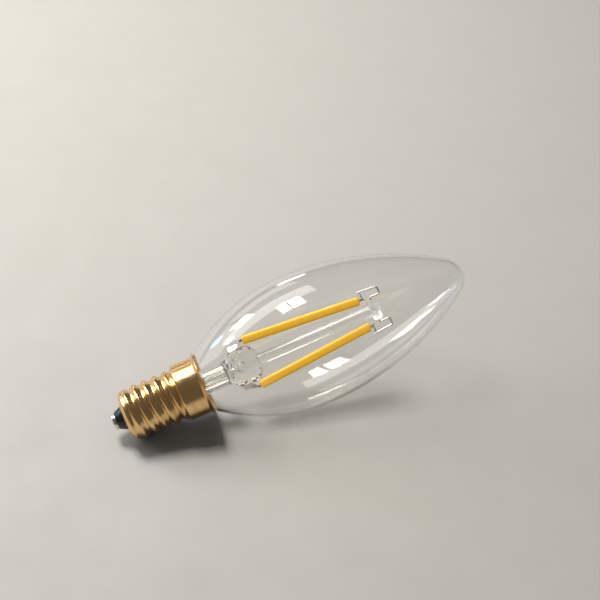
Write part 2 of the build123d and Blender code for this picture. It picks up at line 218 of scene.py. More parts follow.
def clear_glass(name, tint, index, scale, ripple, smear, relief):
    """Clear glass with the flow of its making in its surface. It lets the light of lamps through, and is dull
    where a piece is marked as frosted."""
    material = bpy.data.materials.new(name)
    material.use_nodes = True
    nodes, links = material.node_tree.nodes, material.node_tree.links
    surface = nodes["Principled BSDF"]
    surface.inputs["Base Color"].default_value = (*tint, 1.0)
    surface.inputs["Transmission Weight"].default_value = 1.0
    surface.inputs["IOR"].default_value = index
    flow = nodes.new("ShaderNodeGroup")
    flow.node_tree = glass_flow
    flow.inputs["Scale"].default_value = scale
    flow.inputs["Ripple"].default_value = ripple
    flow.inputs["Smear"].default_value = smear
    bump = nodes.new("ShaderNodeBump")
    bump.inputs["Strength"].default_value = relief
    bump.inputs["Distance"].default_value = 0.0002
    frost = nodes.new("ShaderNodeAttribute")
    frost.attribute_name = "frost"
    shine = nodes.new("ShaderNodeMath")
    shine.operation = "MULTIPLY_ADD"
    shine.inputs[1].default_value = frost_roughness
    path = nodes.new("ShaderNodeLightPath")
    clear = nodes.new("ShaderNodeBsdfTransparent")
    clear.inputs["Color"].default_value = (0.975, 0.975, 0.97, 1.0)
    mix = nodes.new("ShaderNodeMixShader")
    for link in (
        (flow.outputs["Height"], bump.inputs["Height"]),
        (frost.outputs["Fac"], shine.inputs[0]),
        (flow.outputs["Roughness"], shine.inputs[2]),
        (shine.outputs[0], surface.inputs["Roughness"]),
        (bump.outputs["Normal"], surface.inputs["Normal"]),
        (path.outputs["Is Shadow Ray"], mix.inputs[0]),
        (surface.outputs[0], mix.inputs[1]),
        (clear.outputs[0], mix.inputs[2]),
        (mix.outputs[0], nodes["Material Output"].inputs["Surface"]),
    ):
        links.new(*link)
    return material


stem_glass = clear_glass(
    "stem_glass", tint=(0.985, 0.985, 0.97), index=1.55, scale=260.0, ripple=0.3, smear=0.03, relief=0.12
)
tube_outline = rounded((
    (0, lip_end, 0), (neck_radius, lip_end, lip_edge), (neck_radius, neck_end, 0), (neck_bore, neck_end, 0),
    (stem_radius, flare_top, flare_bend), (stem_radius, press_start + overlap, 0),
    (0, press_start + overlap, 0),
))
bore_outline = rounded((
    (0, lip_end - overlap, 0), (neck_bore - lip_thickness, lip_end - overlap, 0),
    (neck_bore - lip_thickness, lip_end, 0), (stem_bore, flare_top, flare_bend),
    (stem_bore, press_start, bore_edge), (0, press_start, 0),
))
air_way_outline = (
    (0, press_start - overlap), (exhaust_bore, press_start - overlap),
    (exhaust_bore, hole_height), (0, hole_height),
)
stem_blank = blank_from("stem_blank", spin(tube_outline, stem_turns))
press_rings = [oval(out, front, height) for height, out, front in press_shape]
press_blank = blank_from("press_blank", wrap(press_rings))
bore_tool = blank_from("bore_tool", spin(bore_outline, stem_turns))
air_way = blank_from("air_way", spin(air_way_outline, air_way_turns))
blown_hole = blank_from("blown_hole", wrap([
    [(x, front, hole_height + y) for x, y, _ in oval(out, rise, 0)] for front, out, rise in hole_shape
]))
hole_lip_angles = [tau * k / hole_lip_facets for k in range(hole_lip_facets)]
hole_lip_outline = [
    (hole_lip_radius + hole_lip_round * cos(a), hole_lip_round * sin(a)) for a in hole_lip_angles
]
hole_lip_ring = spin(hole_lip_outline, hole_lip_turns)
hole_lip_ring.transform(
    Matrix.Translation((0, hole_lip_front, hole_height))
    @ Matrix.Rotation(radians(-90), 4, "X") @ Matrix.Diagonal(hole_lip_stretch)
)
hole_lip = blank_from("hole_lip", hole_lip_ring)
for tool, operation in (
    (press_blank, "UNION"), (hole_lip, "UNION"),
    (bore_tool, "DIFFERENCE"), (air_way, "DIFFERENCE"), (blown_hole, "DIFFERENCE"),
):
    joint = stem_blank.modifiers.new(tool.name, "BOOLEAN")
    joint.operation = operation
    joint.solver = "EXACT"
    joint.object = tool
melt = stem_blank.modifiers.new("melt", "REMESH")
melt.mode = "VOXEL"
melt.voxel_size = melt_voxel
ease = stem_blank.modifiers.new("ease", "SMOOTH")
ease.factor = melt_share
ease.iterations = melt_rounds
stem_mesh = worked(stem_blank, press_blank, hole_lip, bore_tool, air_way, blown_hole)
lumps = []
for vertex in stem_mesh.vertices:
    share = min(max((vertex.co.z - press_start + lump_fade / 2) / lump_fade, 0), 1)
    height = sum(size * noise.noise(vertex.co / pitch) for pitch, size in press_lumps)
    lumps.append(vertex.normal * (share * height))
for vertex, lump in zip(stem_mesh.vertices, lumps):
    vertex.co += lump
fit("stem", stem_mesh, mount_frame, stem_glass, "stem_glass", "stem_flare")

# Exhaust tube: thin glass tube fused into the press, through which the bulb was pumped out and filled
# with gas. It was melted off inside the cap and drawn to a closed point.
exhaust_end, exhaust_point, exhaust_turns = -9.1, 1.2, 64
point_round, point_bore_round, seal_gap = 0.8, 0.4, 0.02
exhaust_outline = rounded((
    (exhaust_bore, press_start - seal_gap, 0), (exhaust_radius, press_start - seal_gap, 0),
    (exhaust_radius, exhaust_end + exhaust_point, point_round), (0, exhaust_end, 0),
    (0, exhaust_end + exhaust_point, 0), (exhaust_bore, exhaust_end + 2 * exhaust_point, point_bore_round),
))
exhaust_blank = blank_from("exhaust_blank", spin(exhaust_outline, exhaust_turns))
fit("exhaust_pipe", worked(exhaust_blank), lamp_frame, stem_glass, "stem_glass", "exhaust_tube")

# Lead wires: drawn nickel-iron wire, sealed in the press and bent out along its edges to the filaments' tabs.
# They come up from the driver beside the exhaust tube.
wire_radius, wire_bend, wire_sides, bend_steps = 0.25, 0.45, 20, 10
lead_out, weld_out, weld_height, weld_length = 1.95, 5.05, 9.0, 1.7
board_top, fit_gap = -10.0, 0.03
driver_turn = radians(101.5)

# Tone of a worked surface: a light and a dark shade in soft patches with fine specks,
# and a shine that goes with them
uneven_tone, tone_in, tone_out = new_group(
    "uneven_tone",
    (
        ("Scale", "NodeSocketFloat", 400.0), ("Stretch", "NodeSocketFloat", 1.0),
        ("Light Tone", "NodeSocketColor", (0.8, 0.8, 0.8, 1)),
        ("Dark Tone", "NodeSocketColor", (0.6, 0.6, 0.6, 1)),
        ("Low Roughness", "NodeSocketFloat", 0.2), ("High Roughness", "NodeSocketFloat", 0.4),
    ),
    (("Tone", "NodeSocketColor"), ("Roughness", "NodeSocketFloat"), ("Height", "NodeSocketFloat")),
)
tone_place = uneven_tone.nodes.new("ShaderNodeTexCoord")
tone_turn = uneven_tone.nodes.new("ShaderNodeMapping")
tone_turn.inputs["Rotation"].default_value = (0, lamp_tilt, 0)
tone_stretch = uneven_tone.nodes.new("ShaderNodeCombineXYZ")
tone_stretch.inputs[1].default_value = 1.0
tone_stretch.inputs[2].default_value = 1.0
tone_scale = uneven_tone.nodes.new("ShaderNodeVectorMath")
tone_scale.operation = "MULTIPLY"
tone_patch = uneven_tone.nodes.new("ShaderNodeTexNoise")
tone_patch.inputs["Detail"].default_value = 5.0
tone_patch.inputs["Roughness"].default_value = 0.6
tone_ramp = uneven_tone.nodes.new("ShaderNodeMapRange")
tone_ramp.inputs["From Min"].default_value = 0.32
tone_ramp.inputs["From Max"].default_value = 0.68
tone_mix = uneven_tone.nodes.new("ShaderNodeMix")
tone_mix.data_type = "RGBA"
tone_shine = uneven_tone.nodes.new("ShaderNodeMapRange")
for link in (
    (tone_place.outputs["Object"], tone_turn.inputs["Vector"]),
    (tone_in.outputs["Stretch"], tone_stretch.inputs[0]),
    (tone_turn.outputs["Vector"], tone_scale.inputs[0]),
    (tone_stretch.outputs["Vector"], tone_scale.inputs[1]),
    (tone_scale.outputs["Vector"], tone_patch.inputs["Vector"]),
    (tone_in.outputs["Scale"], tone_patch.inputs["Scale"]),
    (tone_patch.outputs["Fac"], tone_ramp.inputs["Value"]),
    (tone_ramp.outputs["Result"], tone_mix.inputs["Factor"]),
    (tone_in.outputs["Light Tone"], tone_mix.inputs["A"]),
    (tone_in.outputs["Dark Tone"], tone_mix.inputs["B"]),
    (tone_mix.outputs["Result"], tone_out.inputs["Tone"]),
    (tone_ramp.outputs["Result"], tone_shine.inputs["Value"]),
    (tone_in.outputs["Low Roughness"], tone_shine.inputs["To Min"]),
    (tone_in.outputs["High Roughness"], tone_shine.inputs["To Max"]),
    (tone_shine.outputs["Result"], tone_out.inputs["Roughness"]),
    (tone_patch.outputs["Fac"], tone_out.inputs["Height"]),
):
    uneven_tone.links.new(*link)


def worked_surface(name, light, dark, shine, scale, relief=0.1, metal=0.0, stretch=1.0):
    """Opaque finish whose tone, shine and fine relief vary over the piece."""
    material = bpy.data.materials.new(name)
    material.use_nodes = True
    nodes, links = material.node_tree.nodes, material.node_tree.links
    surface = nodes["Principled BSDF"]
    surface.inputs["Metallic"].default_value = metal
    tone = nodes.new("ShaderNodeGroup")
    tone.node_tree = uneven_tone
    tone.name = "tone"
    for socket, value in (
        ("Scale", scale), ("Stretch", stretch), ("Light Tone", (*light, 1)), ("Dark Tone", (*dark, 1)),
        ("Low Roughness", shine[0]), ("High Roughness", shine[1]),
    ):
        tone.inputs[socket].default_value = value
    bump = nodes.new("ShaderNodeBump")
    bump.inputs["Strength"].default_value = relief
    bump.inputs["Distance"].default_value = 0.00005
    links.new(tone.outputs["Tone"], surface.inputs["Base Color"])
    links.new(tone.outputs["Roughness"], surface.inputs["Roughness"])
    links.new(tone.outputs["Height"], bump.inputs["Height"])
    links.new(bump.outputs["Normal"], surface.inputs["Normal"])
    return material


# Bent wire: follows a bare line of points, with round bends of one radius
bent_wire = bpy.data.node_groups.new("bent_wire", "GeometryNodeTree")
for socket, kind in (
    ("Line", "NodeSocketGeometry"), ("Wire Radius", "NodeSocketFloat"),
    ("Bend Radius", "NodeSocketFloat"), ("Finish", "NodeSocketMaterial"),
):
    bent_wire.interface.new_socket(socket, in_out="INPUT", socket_type=kind)
bent_wire.interface.new_socket("Wire", in_out="OUTPUT", socket_type="NodeSocketGeometry")
wire_in = bent_wire.nodes.new("NodeGroupInput")
wire_out = bent_wire.nodes.new("NodeGroupOutput")
wire_line = bent_wire.nodes.new("GeometryNodeMeshToCurve")
wire_corner = bent_wire.nodes.new("GeometryNodeFilletCurve")
wire_corner.mode = "POLY"
wire_corner.inputs["Count"].default_value = bend_steps
wire_corner.inputs["Limit Radius"].default_value = True
wire_section = bent_wire.nodes.new("GeometryNodeCurvePrimitiveCircle")
wire_section.inputs["Resolution"].default_value = wire_sides
wire_body = bent_wire.nodes.new("GeometryNodeCurveToMesh")
wire_body.inputs["Fill Caps"].default_value = True
wire_whole = bent_wire.nodes.new("GeometryNodeRealizeInstances")
wire_finish = bent_wire.nodes.new("GeometryNodeSetMaterial")
for link in (
    (wire_in.outputs["Line"], wire_line.inputs["Mesh"]),
    (wire_line.outputs["Curve"], wire_corner.inputs["Curve"]),
    (wire_in.outputs["Bend Radius"], wire_corner.inputs["Radius"]),
    (wire_in.outputs["Wire Radius"], wire_section.inputs["Radius"]),
    (wire_corner.outputs["Curve"], wire_body.inputs["Curve"]),
    (wire_section.outputs["Curve"], wire_body.inputs["Profile Curve"]),
    (wire_body.outputs["Mesh"], wire_whole.inputs["Geometry"]),
    (wire_whole.outputs["Geometry"], wire_finish.inputs["Geometry"]),
    (wire_in.outputs["Finish"], wire_finish.inputs["Material"]),
    (wire_finish.outputs["Geometry"], wire_out.inputs["Wire"]),
):
    bent_wire.links.new(*link)


def shaped_by(tree, blank, values):
    """Mesh that a tree makes of a blank, with the tree's named inputs set."""
    step = blank.modifiers.new(tree.name, "NODES")
    step.node_group = tree
    for socket in tree.interface.items_tree:
        if socket.name in values:
            step[socket.identifier] = values[socket.name]
    return worked(blank)


def wire_mesh(name, points, material):
    """Round wire through points of out, front and height."""
    line = bpy.data.meshes.new(name)
    line.from_pydata(points, [(k, k + 1) for k in range(len(points) - 1)], [])
    blank = bpy.data.objects.new(name, line)
    bpy.context.collection.objects.link(blank)
    return shaped_by(bent_wire, blank, {
        "Wire Radius": wire_radius, "Bend Radius": wire_bend, "Finish": material,
    })


nickel_wire = worked_surface(
    "nickel_wire", (0.82, 0.80, 0.76), (0.66, 0.62, 0.56), (0.28, 0.46),
    scale=900.0, relief=0.12, metal=1.0, stretch=0.3,
)
for number, side in ((1, 1), (2, -1)):
    turn = driver_turn - mount_turn
    lead_points = (
        (-side * lead_out * cos(turn), -side * lead_out * sin(turn), board_top + fit_gap),
        (side * lead_out, 0, press_start),
        (side * weld_out, 0, weld_height),
        (side * weld_out, 0, weld_height + weld_length),
    )
    lead_mesh = wire_mesh(f"lead_{number}", lead_points, nickel_wire)
    fit(f"lead_{number}", lead_mesh, mount_frame, nickel_wire, "nickel_wire", f"lead_wire_{number}")

# Support rod: drawn glass rod fused to the press, its top pressed into a flat button while soft.
# The button grips the bridge wire, and the press of the tool left it dull.
rod_radius, rod_top, rod_turns = 1.5, 46.7, 72
button_radius, button_thickness, button_round, button_root = 2.7, 2.2, 0.6, 0.5
frost_depth, frost_fade = 1.6, 1.8
button_top = rod_top + button_thickness
rod_outline = rounded((
    (0, press_top + seal_gap, 0), (rod_radius, press_top + seal_gap, 0), (rod_radius, rod_top, button_root),
    (button_radius, rod_top, button_round), (button_radius, button_top, button_round), (0, button_top, 0),
))
rod_blank = blank_from("rod_blank", spin(rod_outline, rod_turns))
frost = rod_blank.data.attributes.new("frost", "FLOAT", "POINT")
frost.data.foreach_set("value", [
    min(max((v.co.z - rod_top + frost_depth) / frost_fade, 0), 1) for v in rod_blank.data.vertices
])
fit("rod", worked(rod_blank), lamp_frame, stem_glass, "stem_glass", "support_rod")

# Bridge wire: one piece of the same wire through the button, sealed in while the glass was soft.
# It is hooked over on both sides and joins the heads of the two filaments.
button_middle = rod_top + button_thickness / 2
hook_inner, hook_outer, hook_rise, hook_drop, hook_splay = 3.4, 5.3, 2.7, 5.4, 0.5
hook_top = button_middle + hook_rise
hook_points = (
    (hook_inner, 0, button_middle), (hook_inner, 0, hook_top),
    (hook_outer, 0, hook_top), (hook_outer + hook_splay, 0, hook_top - hook_drop),
)
bridge_points = [(-out, front, height) for out, front, height in reversed(hook_points)] + list(hook_points)
bridge_mesh = wire_mesh("bridge", bridge_points, nickel_wire)
fit("bridge", bridge_mesh, mount_frame, nickel_wire, "nickel_wire", "bridge_wire")

# Filaments: a row of small chips on a ceramic strip, under a bead of silicone filled with yellow phosphor.
# The strip's bare ends are welded to bent tabs of thin nickel sheet, the upper ones on the bridge wire.
# The lower ones twist round to the lead wires.
foot_out, foot_height, head_out, head_height = 6.2, 13.25, 3.6, 44.9
bead_half_width, bead_half_thickness, bead_fullness = 1.15, 0.95, 3.2
bead_end, bead_end_share = 0.55, 0.62
bead_stations, bead_sides = 150, 40
# Unevenness of the beads: its share of the section, its pace along the bead, and its place in the noise
bead_swells = ((0.025, 0.55, 7.0, 0.0), (0.012, 2.1, 3.0, 5.0))
chip_pitch = 1.18
strip_edge, tab_edge = 0.04 * millimetre, 0.05 * millimetre
tab_half_width, tab_half_thickness, tab_fullness = 0.85, 0.125, 8
tab_sides, tab_steps = 24, 8
phosphor = worked_surface(
    "phosphor", (0.98, 0.58, 0.035), (0.95, 0.50, 0.025), (0.38, 0.52), scale=700.0, relief=0.25
)
phosphor_nodes, phosphor_links = phosphor.node_tree.nodes, phosphor.node_tree.links
bead_surface = phosphor_nodes["Principled BSDF"]
bead_surface.inputs["Subsurface Weight"].default_value = 0.35
bead_surface.inputs["Subsurface Radius"].default_value = (1.0, 0.45, 0.08)
bead_surface.inputs["Subsurface Scale"].default_value = 0.0006
# Painted glow: the warm emission stands in for light on the beads' faces, since the filaments are not lit.
bead_surface.inputs["Emission Color"].default_value = (1.0, 0.53, 0.03, 1)
bead_surface.inputs["Emission Strength"].default_value = 0.48
bead_along = phosphor_nodes.new("ShaderNodeAttribute")
bead_along.attribute_name = "along"
bead_pitch = phosphor_nodes.new("ShaderNodeMath")
bead_pitch.operation = "MULTIPLY"
bead_pitch.inputs[1].default_value = tau / chip_pitch
bead_wave = phosphor_nodes.new("ShaderNodeMath")
bead_wave.operation = "SINE"
bead_shade = phosphor_nodes.new("ShaderNodeMapRange")
bead_shade.inputs["From Min"].default_value = -1.0
bead_shade.inputs["To Min"].default_value = 0.0
bead_shade.inputs["To Max"].default_value = 0.22
bead_mix = phosphor_nodes.new("ShaderNodeMix")
bead_mix.data_type = "RGBA"
bead_mix.inputs["B"].default_value = (1.0, 0.66, 0.06, 1)
for link in (
    (bead_along.outputs["Fac"], bead_pitch.inputs[0]),
    (bead_pitch.outputs[0], bead_wave.inputs[0]),
    (bead_wave.outputs[0], bead_shade.inputs["Value"]),
    (bead_shade.outputs["Result"], bead_mix.inputs["Factor"]),
    (phosphor_nodes["tone"].outputs["Tone"], bead_mix.inputs["A"]),
    (bead_mix.outputs["Result"], bead_surface.inputs["Base Color"]),
):
    phosphor_links.new(*link)
carrier_ceramic = worked_surface(
    "carrier_ceramic", (0.80, 0.42, 0.12), (0.52, 0.24, 0.07), (0.35, 0.55), scale=900.0, relief=0.2
)
nickel_sheet = worked_surface(
    "nickel_sheet", (0.80, 0.78, 0.75), (0.62, 0.59, 0.55), (0.14, 0.32), scale=700.0, metal=1.0
)
# Middle of a lower tab, from the strip's foot down to the lead wire: out, front, height and turn in degrees
tab_run = [Vector((6.50, 0, 13.20, 0)), Vector((6.56, 0, 12.55, 0))]
tab_seat = wire_radius + tab_half_thickness
for turn, height in ((50, weld_height + weld_length), (59, weld_height)):
    seat_out, seat_front = tab_seat * cos(radians(turn)), tab_seat * sin(radians(turn))
    tab_run.append(Vector((weld_out + seat_out, seat_front, height, turn)))


def eased_copy(node, width):
    """Copy of a small pressed or cut solid with its sharp edges broken."""
    flat_angle, sharp_angle = radians(2), radians(30)
    copy = bmesh.new()
    copy.from_mesh(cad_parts[node].data)
    bmesh.ops.remove_doubles(copy, verts=copy.verts, dist=1e-6)
    bmesh.ops.dissolve_limit(copy, angle_limit=flat_angle, verts=copy.verts, edges=copy.edges)
    sharp = [edge for edge in copy.edges if edge.calc_face_angle(0) > sharp_angle]
    bmesh.ops.bevel(copy, geom=sharp, offset=width, segments=2, profile=0.5, affect="EDGES")
    mesh = bpy.data.meshes.new(node)
    copy.to_mesh(mesh)
    copy.free()
    return mesh


for number, side in ((1, 1), (2, -1)):
    foot = Vector((side * foot_out, 0, foot_height))
    head = Vector((side * head_out, 0, head_height))
    along = (head - foot).normalized()
    across = Vector((0, 1, 0)).cross(along)
    strip = Matrix((across, Vector((0, 1, 0)), along)).transposed().to_4x4()
    length = (head - foot).length
    rings, marks = [], []
    for k in range(bead_stations + 1):
        at = length * (1 - cos(pi * k / bead_stations)) / 2
        near = min(at / bead_end, (length - at) / bead_end, 1)
        share = bead_end_share + (1 - bead_end_share) * sqrt(max(0, 1 - (1 - near) ** 2))
        share *= 1 + sum(
            size * noise.noise((at * rate, number * row, layer)) for size, rate, row, layer in bead_swells
        )
        half_width, half_thickness = bead_half_width * share, bead_half_thickness * share
        rings.append(oval(half_width, half_thickness, at, bead_fullness, bead_sides))
        marks += [at] * bead_sides
    bead = blank_from(f"bead_{number}", wrap(rings))
    mark = bead.data.attributes.new("along", "FLOAT", "POINT")
    mark.data.foreach_set("value", marks)
    bead_place = mount_frame @ Matrix.Translation(foot) @ strip
    fit(f"bead_{number}", worked(bead), bead_place, phosphor, "phosphor", f"filament_{number}")
    strip_node = f"filament_{number}_carrier"
    strip_mesh = eased_copy(strip_node, strip_edge)
    fit(f"strip_{number}", strip_mesh, Matrix(), carrier_ceramic, "carrier_ceramic", strip_node)
    tab_rings = []
    for start, end in zip(tab_run, tab_run[1:]):
        for k in range(tab_steps + (end == tab_run[-1])):
            out, front, height, turn = start.lerp(end, k / tab_steps)
            way = (end - start).xyz.normalized()
            face = Vector((cos(radians(turn)), sin(radians(turn)), 0))
            breadth = way.cross(face).normalized()
            face = breadth.cross(way)
            section = oval(tab_half_width, tab_half_thickness, 0, tab_fullness, tab_sides)
            ring = [Vector((out, front, height)) + breadth * x + face * y for x, y, _ in section]
            tab_rings.append([(side * point.x, point.y, point.z) for point in ring])
    low_tab = worked(blank_from(f"tab_{number}_lower", wrap(tab_rings)))
    low_node, high_node = f"filament_{number}_lower_tab", f"filament_{number}_upper_tab"
    fit(f"tab_{number}_lower", low_tab, mount_frame, nickel_sheet, "nickel_sheet", low_node)
    high_tab = eased_copy(high_node, tab_edge)
    fit(f"tab_{number}_upper", high_tab, Matrix(), nickel_sheet, "nickel_sheet", high_node)

# Glass envelope: soda-lime glass blown in a mould, drawn to a blunt tip, and sealed to the lip of the stem.
# Its neck stands in the cap.
bulb_radius, bulb_length, belly_height, tip_radius = 17.5, 72.7, 28.5, 5.7
mouth_flare, neck_blend, glass_wall = 1.0, 2.0, 0.6
envelope_turns, blend_steps, flank_steps, tip_steps = 160, 10, 44, 24
belly_rise = bulb_radius - neck_radius - mouth_flare
flank_radius = (belly_height**2 + belly_rise**2) / (2 * belly_rise)
flank_centre = bulb_radius - flank_radius
tip_centre = bulb_length - tip_radius
crown_rise = tip_centre - belly_height
crown_radius = (crown_rise**2 + bulb_radius**2 - tip_radius**2) / (2 * (bulb_radius - tip_radius))
crown_centre = bulb_radius - crown_radius
crown_turn = atan2(crown_rise, -crown_centre)


def arc(centre, radius, start, end, steps):
    """Points of an arc about a centre of radius and height, without its last one."""
    angles = [start + (end - start) * k / steps for k in range(steps)]
    return [(centre[0] + radius * cos(a), centre[1] + radius * sin(a)) for a in angles]


def envelope_wall(inset):
    """Half outline of one face of the glass, from the end of the neck to the tip."""
    straight, blend = neck_radius - inset, neck_blend + inset
    flank = flank_radius - inset
    blend_centre = straight + blend
    blend_height = belly_height - sqrt((flank + blend) ** 2 - (blend_centre - flank_centre) ** 2)
    blend_turn = atan2(belly_height - blend_height, blend_centre - flank_centre)
    return (
        [(straight, neck_end), (straight, (neck_end + blend_height) / 2)]
        + arc((blend_centre, blend_height), blend, pi, pi - blend_turn, blend_steps)
        + arc((flank_centre, belly_height), flank, -blend_turn, 0, flank_steps)
        + arc((crown_centre, belly_height), crown_radius - inset, 0, crown_turn, flank_steps)
        + arc((0, tip_centre), tip_radius - inset, crown_turn, pi / 2, tip_steps)
        + [(0, bulb_length - inset)]
    )


envelope_glass = clear_glass(
    "envelope_glass", tint=(0.992, 0.995, 0.99), index=1.5, scale=45.0, ripple=0.05, smear=0.02, relief=0.03
)
envelope_outline = envelope_wall(0) + list(reversed(envelope_wall(glass_wall)))
envelope_blank = blank_from("envelope_blank", spin(envelope_outline, envelope_turns))
fit("envelope", worked(envelope_blank), lamp_frame, envelope_glass, "clear_glass", "glass_envelope")

# Driver: a small board in a film sleeve, with a rectifier and a regulator on one face and a smoothing
# capacitor and a fuse resistor on the other. Thin leads join it to the shell and to the centre contact.
board_laminate = worked_surface(
    "board_laminate", (0.10, 0.32, 0.17), (0.06, 0.22, 0.11), (0.3, 0.5), scale=800.0
)
chip_mould = worked_surface(
    "chip_mould", (0.035, 0.035, 0.038), (0.02, 0.02, 0.022), (0.4, 0.6), scale=1500.0, relief=0.3
)
capacitor_can = worked_surface(
    "capacitor_can", (0.62, 0.62, 0.64), (0.5, 0.5, 0.52), (0.25, 0.4), scale=600.0, metal=1.0
)
resistor_lacquer = worked_surface(
    "resistor_lacquer", (0.34, 0.5, 0.6), (0.26, 0.4, 0.5), (0.3, 0.45), scale=900.0
)
sleeve_film = worked_surface(
    "sleeve_film", (0.85, 0.84, 0.78), (0.78, 0.76, 0.68), (0.3, 0.45), scale=300.0
)


def finish_solids(material, *nodes):
    """Finish of solids that show as they are."""
    for node in nodes:
        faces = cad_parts[node].data
        faces.materials.clear()
        faces.materials.append(material)


finish_solids(board_laminate, "driver_board")
finish_solids(chip_mould, "rectifier", "regulator")
finish_solids(capacitor_can, "capacitor")
finish_solids(resistor_lacquer, "fuse_resistor")
finish_solids(sleeve_film, "insulating_sleeve")
finish_solids(nickel_wire, "contact_lead", "shell_lead")

# Basing cement: ring of hard cement between the neck of the glass and the collar of the cap.
# It was put in as a paste and baked, and holds the cap to the glass.
cement = worked_surface("cement", (0.78, 0.72, 0.6), (0.66, 0.58, 0.45), (0.7, 0.9), scale=900.0, relief=0.6)
finish_solids(cement, "basing_cement")

# Screw shell: thin brass sheet, drawn to a cup with a smooth collar and a flared rim.
# The round thread was rolled into its wall, and its end turned in over the insulator.
sheet = 0.3
throat_radius, heel_radius, heel_edge, shell_end = 3.2, 5.6, -21.75, -22.2
thread_middle, thread_depth, thread_pitch, thread_start = 6.545, 0.8, 2.822, radians(18.6)
collar_radius, collar_end, shoulder_end, rim_radius, rim_foot = 7.5, -6.3, -7.0, 8.5, -0.9
heel_slope = 1.6 / 1.75
thread_foot = heel_edge + (thread_middle - heel_radius) * heel_slope
run_in, run_out_below, run_out_above = 1.7, 0.7, 0.3
shell_turns, shell_step = 160, 0.13
rolled_thread = bpy.data.node_groups.new("rolled_thread", "GeometryNodeTree")
for socket, kind in (
    ("Cup", "NodeSocketGeometry"), ("Pitch", "NodeSocketFloat"), ("Depth", "NodeSocketFloat"),
    ("Start Height", "NodeSocketFloat"), ("Start Turn", "NodeSocketFloat"), ("Finish", "NodeSocketMaterial"),
):
    rolled_thread.interface.new_socket(socket, in_out="INPUT", socket_type=kind)
rolled_thread.interface.new_socket("Shell", in_out="OUTPUT", socket_type="NodeSocketGeometry")
roll_in = rolled_thread.nodes.new("NodeGroupInput")
roll_out = rolled_thread.nodes.new("NodeGroupOutput")
roll_place = rolled_thread.nodes.new("GeometryNodeInputPosition")
roll_parts = rolled_thread.nodes.new("ShaderNodeSeparateXYZ")
roll_out_way = rolled_thread.nodes.new("ShaderNodeCombineXYZ")
roll_unit = rolled_thread.nodes.new("ShaderNodeVectorMath")
roll_unit.operation = "NORMALIZE"
roll_share = rolled_thread.nodes.new("GeometryNodeInputNamedAttribute")
roll_share.inputs["Name"].default_value = "roll"
roll_move = rolled_thread.nodes.new("ShaderNodeVectorMath")
roll_move.operation = "SCALE"
roll_set = rolled_thread.nodes.new("GeometryNodeSetPosition")
roll_whole = rolled_thread.nodes.new("GeometryNodeRealizeInstances")
roll_finish = rolled_thread.nodes.new("GeometryNodeSetMaterial")


def roll_math(operation, first, second=None):
    """One step of the thread's rule, on sockets or plain numbers."""
    node = rolled_thread.nodes.new("ShaderNodeMath")
    node.operation = operation
    for socket, value in zip(node.inputs, (first, second)):
        if isinstance(value, (int, float)):
            socket.default_value = value
        elif value is not None:
            rolled_thread.links.new(value, socket)
    return node.outputs[0]


roll_angle = roll_math("ARCTAN2", roll_parts.outputs["Y"], roll_parts.outputs["X"])
roll_rise = roll_math("SUBTRACT", roll_parts.outputs["Z"], roll_in.outputs["Start Height"])
roll_turns = roll_math("MULTIPLY", roll_math("DIVIDE", roll_rise, roll_in.outputs["Pitch"]), tau)
roll_start = roll_math("SUBTRACT", roll_angle, roll_in.outputs["Start Turn"])
roll_phase = roll_math("SUBTRACT", roll_start, roll_turns)
roll_half = roll_math("MULTIPLY", roll_in.outputs["Depth"], 0.5)
roll_wave = roll_math("MULTIPLY", roll_math("COSINE", roll_phase), roll_half)
roll_reach = roll_math("MULTIPLY", roll_wave, roll_share.outputs["Attribute"])
for link in (
    (roll_place.outputs[0], roll_parts.inputs[0]),
    (roll_parts.outputs["X"], roll_out_way.inputs[0]),
    (roll_parts.outputs["Y"], roll_out_way.inputs[1]),
    (roll_out_way.outputs[0], roll_unit.inputs[0]),
    (roll_unit.outputs[0], roll_move.inputs[0]),
    (roll_reach, roll_move.inputs["Scale"]),
    (roll_in.outputs["Cup"], roll_set.inputs["Geometry"]),
    (roll_move.outputs[0], roll_set.inputs["Offset"]),
    (roll_set.outputs[0], roll_whole.inputs[0]),
    (roll_whole.outputs[0], roll_finish.inputs["Geometry"]),
    (roll_in.outputs["Finish"], roll_finish.inputs["Material"]),
    (roll_finish.outputs[0], roll_out.inputs["Shell"]),
):
    rolled_thread.links.new(*link)


def stepped(outline, step):
    """The same closed outline with its long runs divided."""
    fine = []
    for here, there in zip(outline, outline[1:] + outline[:1]):
        count = max(1, round((there - here).length / step))
        fine += [here.lerp(there, k / count) for k in range(count)]
    return fine


def swell(value, low, high):
    """Smooth step from 0 to 1 between two heights."""
    share = min(max((value - low) / (high - low), 0), 1)
    return share * share * (3 - 2 * share)


shell_brass = worked_surface(
    "shell_brass", (0.92, 0.66, 0.33), (0.80, 0.50, 0.21), (0.16, 0.26),
    scale=260.0, relief=0.05, metal=1.0, stretch=2.0,
)
# Section of the cup before rolling, up its outside and down its inside: radius, height and rounding
cup_outline = stepped(rounded((
    (throat_radius, shell_end, 0.12), (heel_radius, heel_edge, 0.45), (thread_middle, thread_foot, 0.5),
    (thread_middle, shoulder_end - 0.25, 0.35), (collar_radius, collar_end - 0.1, 0.45),
    (collar_radius, rim_foot, 0.35), (rim_radius, -0.1, 0.08), (rim_radius - 0.12, 0, 0.06),
    (rim_radius - sheet, -0.02, 0.08), (collar_radius - sheet, rim_foot + 0.05, 0.4),
    (collar_radius - sheet, collar_end + 0.2, 0.3), (thread_middle - sheet, shoulder_end + 0.05, 0.3),
    (thread_middle - sheet, thread_foot + 0.1, 0.4), (heel_radius - sheet, heel_edge + sheet, 0.3),
    (throat_radius, shell_end + sheet, 0.1),
)), shell_step)
cup = blank_from("cup", spin(cup_outline, shell_turns))
roll = cup.data.attributes.new("roll", "FLOAT", "POINT")
